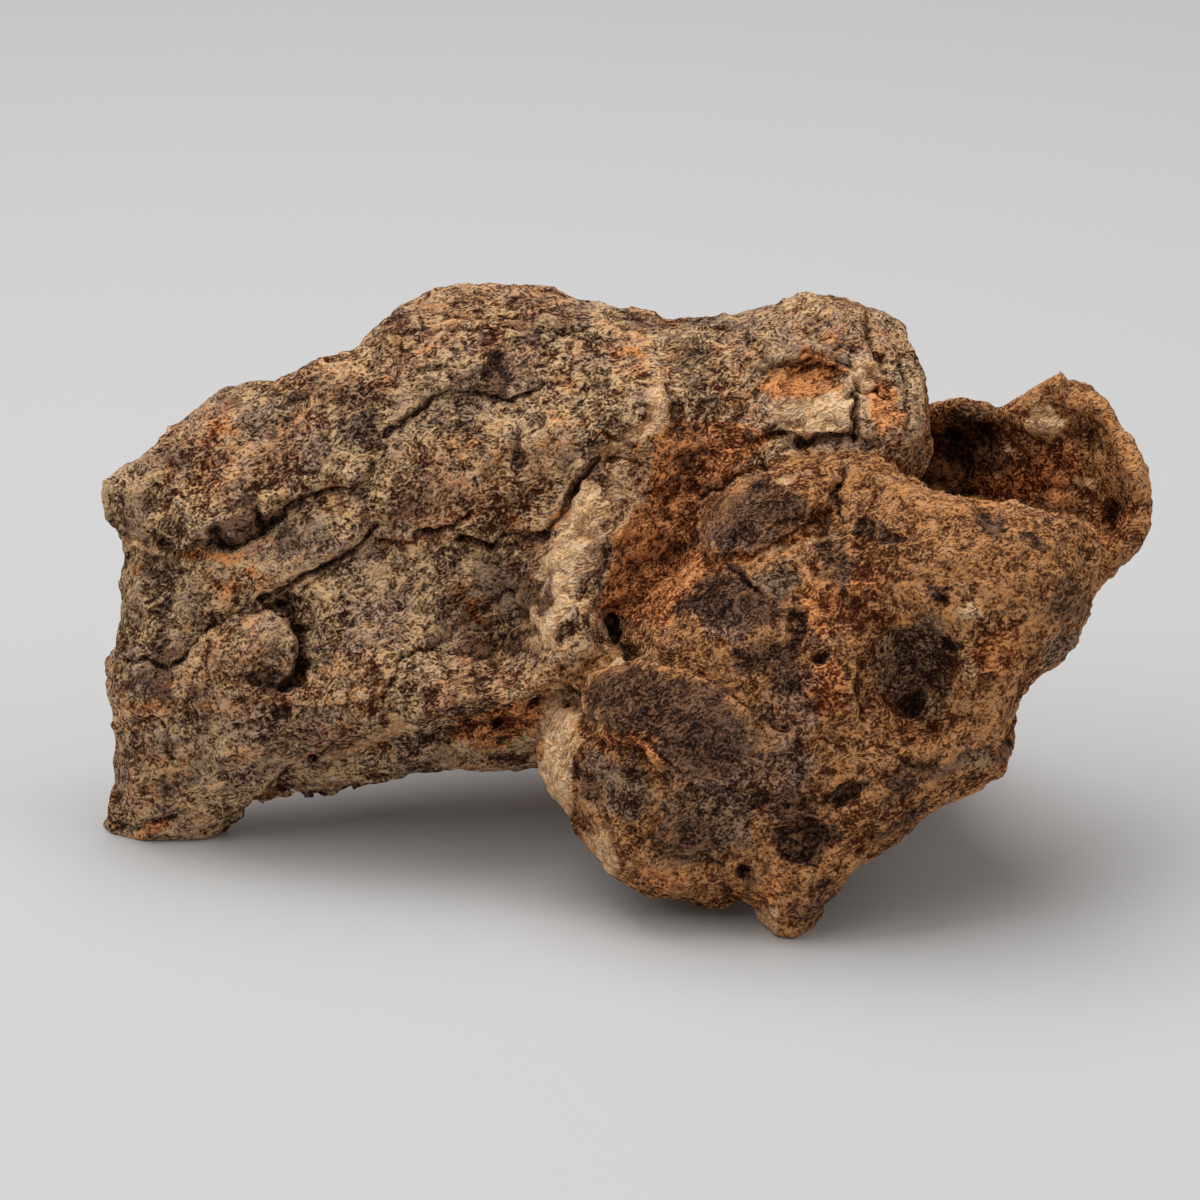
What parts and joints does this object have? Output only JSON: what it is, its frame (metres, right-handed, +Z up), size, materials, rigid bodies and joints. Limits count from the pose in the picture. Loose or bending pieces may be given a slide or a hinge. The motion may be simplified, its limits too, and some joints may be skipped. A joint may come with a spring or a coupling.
{
  "type": "iron meteorite",
  "caption": "Weathered iron meteorite: a thick bent slab over an arch, a pitted prow jutting forward on the right, and a hooked horn round a deep pocket.",
  "frame": {"origin": "centre of the bounding box on the surface that the stone rests on", "axes": "+X along the stone's length towards the horn, +Y away from the face that the prow juts from, +Z up as it rests"},
  "size_m": [0.0861, 0.0509, 0.045],
  "materials": {
    "rusted_iron_crust": "rust crust, matte, with tan grains and dry soil in the hollows"
  },
  "bodies": {
    "root": {"meteorite": "rusted_iron_crust"}
  },
  "joints": []
}
